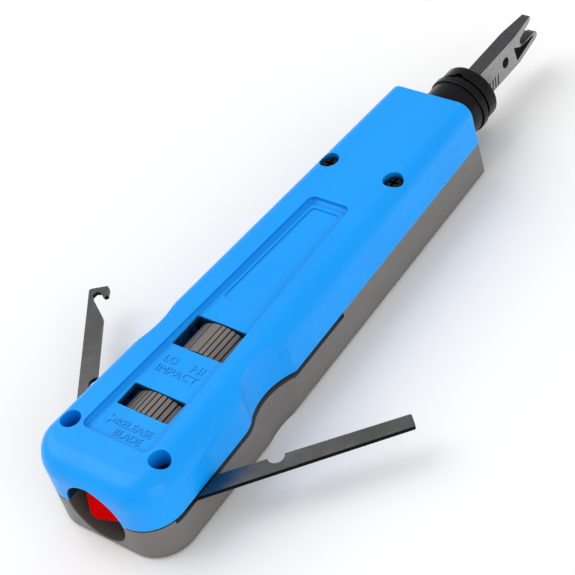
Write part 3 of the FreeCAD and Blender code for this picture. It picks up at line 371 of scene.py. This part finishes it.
PAD_GREY = (0.17, 0.155, 0.14)
NO_GRAIN = (1, 1, 1)
GRAIN_ALONG_X = (0.05, 1, 1)
PLASTICS = {
    "blue_plastic": dict(
        colour=(0.003, 0.345, 0.98), roughness=0.30, grain_depth=0.004 * MM, edge_wear_and_highlight=0.25,
        # The last colour is painted shade for the inner walls and the rear well.
        specular=0.22, inner_painted_shade=(0.003, 0.030, 0.060),
    ),
    "grey_plastic": dict(
        colour=(0.165, 0.156, 0.148), roughness=0.34, grain_depth=0.007 * MM, edge_wear_and_highlight=0.35,
        # The last colour is painted shade for the inner walls and the rear well.
        specular=0.4, inner_painted_shade=(0.085, 0.080, 0.073),
    ),
    "red_plastic": dict(
        # The high edge value here paints a light highlight along the red tab's rim.
        colour=(0.62, 0.001, 0.002), roughness=0.30, grain_depth=0.003 * MM, edge_wear_and_highlight=0.9,
        specular=0.0,
    ),
}
STEELS = {
    "black_steel": dict(
        colour=(0.022, 0.022, 0.023), roughness=0.30, grain=GRAIN_ALONG_X, edge_wear_and_highlight=0.12
    ),
    "tool_steel": dict(
        colour=(0.135, 0.135, 0.135), roughness=0.26, grain=NO_GRAIN, edge_wear_and_highlight=0.2,
        dark_sides=(0.006, 0.006, 0.006),
    ),
    "spring_steel": dict(colour=(0.52, 0.52, 0.54), roughness=0.28, grain=NO_GRAIN, edge_wear_and_highlight=0.2),
    "bright_steel": dict(colour=(0.66, 0.66, 0.68), roughness=0.2, grain=GRAIN_ALONG_X, edge_wear_and_highlight=0.2),
    "brass_bush": dict(colour=(0.68, 0.47, 0.2), roughness=0.26, grain=GRAIN_ALONG_X, edge_wear_and_highlight=0.3),
}
materials = {slot: moulded_plastic(slot, **look) for slot, look in PLASTICS.items()}
materials.update({slot: worked_steel(slot, **look) for slot, look in STEELS.items()})
materials["blade_steel"] = ground_blade("blade_steel")
pad_materials = {
    "release_drum": ribbed_plastic(
        "rib_plastic_release", PAD_GREY, STORE_Z, RELEASE_RIB_RADIUS
    ),
    "impact_selector": ribbed_plastic(
        "rib_plastic_selector", PAD_GREY, AXIS_Z, SELECTOR_RIB_RADIUS
    ),
}


def dress_cad_nodes():
    """Each CAD piece gets its slot's material, and the two thumb pieces get their own."""
    slots = {row["node"]: row["material_slot"] for row in frame["record"]["subparts"]}
    for name, obj in nodes.items():
        material = pad_materials.get(name) or materials[slots[name]]
        obj.data.materials.clear()
        obj.data.materials.append(material)


# ---- moulded legends and engraved strokes ----
# name, words, distance from the rear end, left end, height and length of the words, in mm
LEGENDS = [
    ("legend_lo", "LO", 39.7, 6.6, 2.3, 3.9),
    ("legend_hi", "HI", 39.7, -2.3, 2.3, 3.7),
    ("legend_impact", "IMPACT", 36.4, 6.8, 2.3, 13.2),
    ("legend_release", "RELEASE", 17.9, 4.2, 2.1, 11.6),
    ("legend_blade", "BLADE", 15.0, 2.6, 2.1, 8.9),
]
# corners of the arrow, as distance from the rear end and Y, in mm
ARROW = [
    (18.9, 8.1), (17.3, 6.3), (18.4, 6.3), (18.4, 4.9), (19.4, 4.9), (19.4, 6.3), (20.5, 6.3),
]
LEGEND_PROUD = 0.16  # mm above the panel floor
LEGEND_SUNK = 0.05  # mm below it
STROKE_STATIONS = (2.6, 4.0, 5.4, 6.8)  # mm in front of the flange
STROKE_WIDTH, STROKE_LEAN = 0.4 * MM, 0.7 * MM
STROKE_LOW_Z, STROKE_HIGH_Z = AXIS_Z - 2.0 * MM, AXIS_Z + 1.2 * MM
STROKE_PROUD, STROKE_SUNK = 0.012 * MM, 0.1 * MM


def raised(name, mesh, slot, body="case"):
    """A new piece from a mesh, riding on a body, in the finish of a material slot."""
    obj = bpy.data.objects.new(name, mesh)
    bpy.context.scene.collection.objects.link(obj)
    mesh.materials.clear()
    mesh.materials.append(materials[slot])
    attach(obj, body)
    return obj


def legend(name, words, x, y, height, length):
    """Raised words on the panel floor, read with the nose pointing up."""
    curve = bpy.data.curves.new(name, "FONT")
    curve.body = words
    curve.resolution_u = 3
    curve.extrude = 0.5  # any thickness does, because the mesh is fitted to its place below
    shape = bpy.data.objects.new(name + "_outline", curve)
    mesh = bpy.data.meshes.new_from_object(shape)
    bpy.data.objects.remove(shape)
    bpy.data.curves.remove(curve)
    low = [min(v.co[i] for v in mesh.vertices) for i in range(3)]
    high = [max(v.co[i] for v in mesh.vertices) for i in range(3)]
    for vertex in mesh.vertices:
        share = [(vertex.co[i] - low[i]) / (high[i] - low[i]) for i in range(3)]
        rise = share[2] * (LEGEND_SUNK + LEGEND_PROUD) - LEGEND_SUNK
        vertex.co = (x + share[1] * height, y - share[0] * length, PANEL_FLOOR_Z + rise * MM)
    mesh.name = name
    return raised(name, mesh, "blue_plastic")


def slab(name, hidden_ring, seen_ring, slot, body="case"):
    """A flat mark between two rings of points, anticlockwise from the seen side."""
    count = len(hidden_ring)
    following = [(i + 1) % count for i in range(count)]
    sides = [(i, j, count + j, count + i) for i, j in enumerate(following)]
    ends = [tuple(reversed(range(count))), tuple(range(count, 2 * count))]
    mesh = bpy.data.meshes.new(name)
    mesh.from_pydata(hidden_ring + seen_ring, [], ends + sides)
    return raised(name, mesh, slot, body)


def panel_legends():
    for name, words, x, y, height, length in LEGENDS:
        legend(name, words, REAR_X + x * MM, y * MM, height * MM, length * MM)
    heights = (PANEL_FLOOR_Z - LEGEND_SUNK * MM, PANEL_FLOOR_Z + LEGEND_PROUD * MM)
    rings = [[(REAR_X + x * MM, y * MM, z) for x, y in ARROW] for z in heights]
    slab("legend_arrow", *rings, "blue_plastic")


def blade_strokes():
    """Short blackened strokes on the ground side of the blade, near the flange."""
    for i, station in enumerate(STROKE_STATIONS):
        foot = FLANGE_X + station * MM
        head = foot + STROKE_LEAN
        outline = [
            (foot, STROKE_LOW_Z),
            (foot + STROKE_WIDTH, STROKE_LOW_Z),
            (head + STROKE_WIDTH, STROKE_HIGH_Z),
            (head, STROKE_HIGH_Z),
        ]
        depths = (BLADE_SIDE_Y + STROKE_SUNK, BLADE_SIDE_Y - STROKE_PROUD)
        rings = [[(x, y, z) for x, z in outline] for y in depths]
        slab(f"blade_stroke_{i}", *rings, "black_steel", "blade")


def sprung(node, body):
    """A wound spring in place of its CAD node, riding on the body."""
    piece = raised(node + "_wound", nodes[node].data.copy(), "spring_steel", body)
    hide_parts(node)
    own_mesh(piece)


# ---- floor, light, camera ----
# The camera's angles, lens and place were fitted to the photograph's perspective.
CAMERA_AZIMUTH, CAMERA_ELEVATION, CAMERA_ROLL = -39.92, 42.10, -18.6  # degrees
CAMERA_PLACE = (-0.2300, -0.2808, 0.3451)
LENS_MM, SENSOR_MM = 118.8, 36.0
FLOOR_HALF = 3.0
FLOOR_Z = -0.02 * MM  # just under the casing, so that the two don't share a plane
FLOOR_WHITE = (0.96, 0.96, 0.96, 1.0)
WHITE = (1.0, 1.0, 1.0, 1.0)
WORLD_STRENGTH = 0.64
ORIGIN = (0, 0, 0)


def floor():
    mesh = bpy.data.meshes.new("floor")
    signs = [(-1, -1), (1, -1), (1, 1), (-1, 1)]
    corners = [(x * FLOOR_HALF, y * FLOOR_HALF, FLOOR_Z) for x, y in signs]
    mesh.from_pydata(corners, [], [(0, 1, 2, 3)])
    obj = bpy.data.objects.new("floor", mesh)
    bpy.context.scene.collection.objects.link(obj)
    material, _, shader = start("floor")
    shader.inputs["Base Color"].default_value = FLOOR_WHITE
    shader.inputs["Roughness"].default_value = 0.9
    obj.data.materials.append(material)


def area_light(name, position, aim, size, power):
    """A square light of the given side in metres and power in watts, turned to its aim."""
    light = bpy.data.lights.new(name, "AREA")
    light.shape = "SQUARE"
    light.size = size
    light.energy = power
    obj = bpy.data.objects.new(name, light)
    obj.location = position
    obj.rotation_euler = (Vector(aim) - Vector(position)).to_track_quat("-Z", "Y").to_euler()
    bpy.context.scene.collection.objects.link(obj)


def world_light(strength):
    world = bpy.data.worlds.new("studio")
    world.use_nodes = True
    world.node_tree.nodes["Background"].inputs["Color"].default_value = WHITE
    world.node_tree.nodes["Background"].inputs["Strength"].default_value = strength
    bpy.context.scene.world = world


def camera():
    azimuth, elevation, roll = map(
        math.radians, (CAMERA_AZIMUTH, CAMERA_ELEVATION, CAMERA_ROLL)
    )
    back = Vector((
        math.sin(azimuth) * math.cos(elevation),
        -math.cos(azimuth) * math.cos(elevation),
        math.sin(elevation),
    ))
    level = (-back).cross(Vector((0, 0, 1))).normalized()
    lift = level.cross(-back)
    right = math.cos(roll) * level + math.sin(roll) * lift
    up = -math.sin(roll) * level + math.cos(roll) * lift
    turn = Matrix((right, up, back)).transposed().to_4x4()
    data = bpy.data.cameras.new("camera")
    data.lens = LENS_MM
    data.sensor_width = SENSOR_MM
    data.clip_start = 0.01
    obj = bpy.data.objects.new("camera", data)
    obj.matrix_world = Matrix.Translation(CAMERA_PLACE) @ turn
    bpy.context.scene.collection.objects.link(obj)
    bpy.context.scene.camera = obj


# ---- the scene ----
dress_cad_nodes()
panel_legends()
blade_strokes()
sprung("main_spring", "case")
sprung("return_spring", "case")
sprung("sear_spring", "striker")

floor()
world_light(WORLD_STRENGTH)
area_light("key", (-0.3, 1.5, 1.9), ORIGIN, size=2.2, power=32.0)
area_light("fill", (-0.3, -1.9, 0.65), ORIGIN, size=1.6, power=14.0)
camera()
bpy.context.scene.view_settings.view_transform = "Standard"
